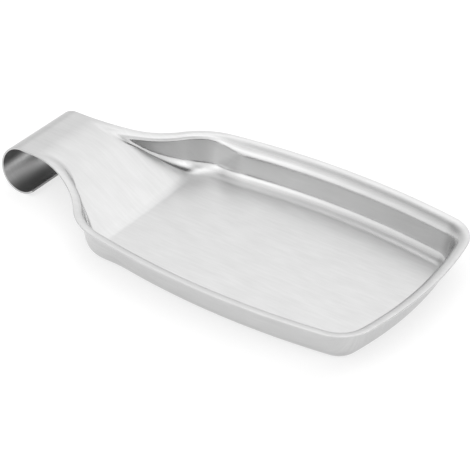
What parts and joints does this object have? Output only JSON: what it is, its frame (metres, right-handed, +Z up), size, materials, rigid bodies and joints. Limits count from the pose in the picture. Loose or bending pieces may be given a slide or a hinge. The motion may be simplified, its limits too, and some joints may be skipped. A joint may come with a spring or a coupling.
{
  "type": "spoon rest",
  "caption": "Shallow bow-sided steel tray with a rounded rim whose rear ramps up through a waisted neck into a strap curled under as a foot and hook, for resting a cooking spoon.",
  "frame": {"origin": "middle of the whole length and width, on the table that the tray's base and the curl stand on", "axes": "+X from the curl to the front of the tray, +Y across it, +Z up"},
  "size_m": [0.2188, 0.115, 0.0228],
  "materials": {
    "steel": "satin, finely brushed along the length"
  },
  "bodies": {
    "root": {"spoon_rest": "steel"}
  },
  "joints": []
}
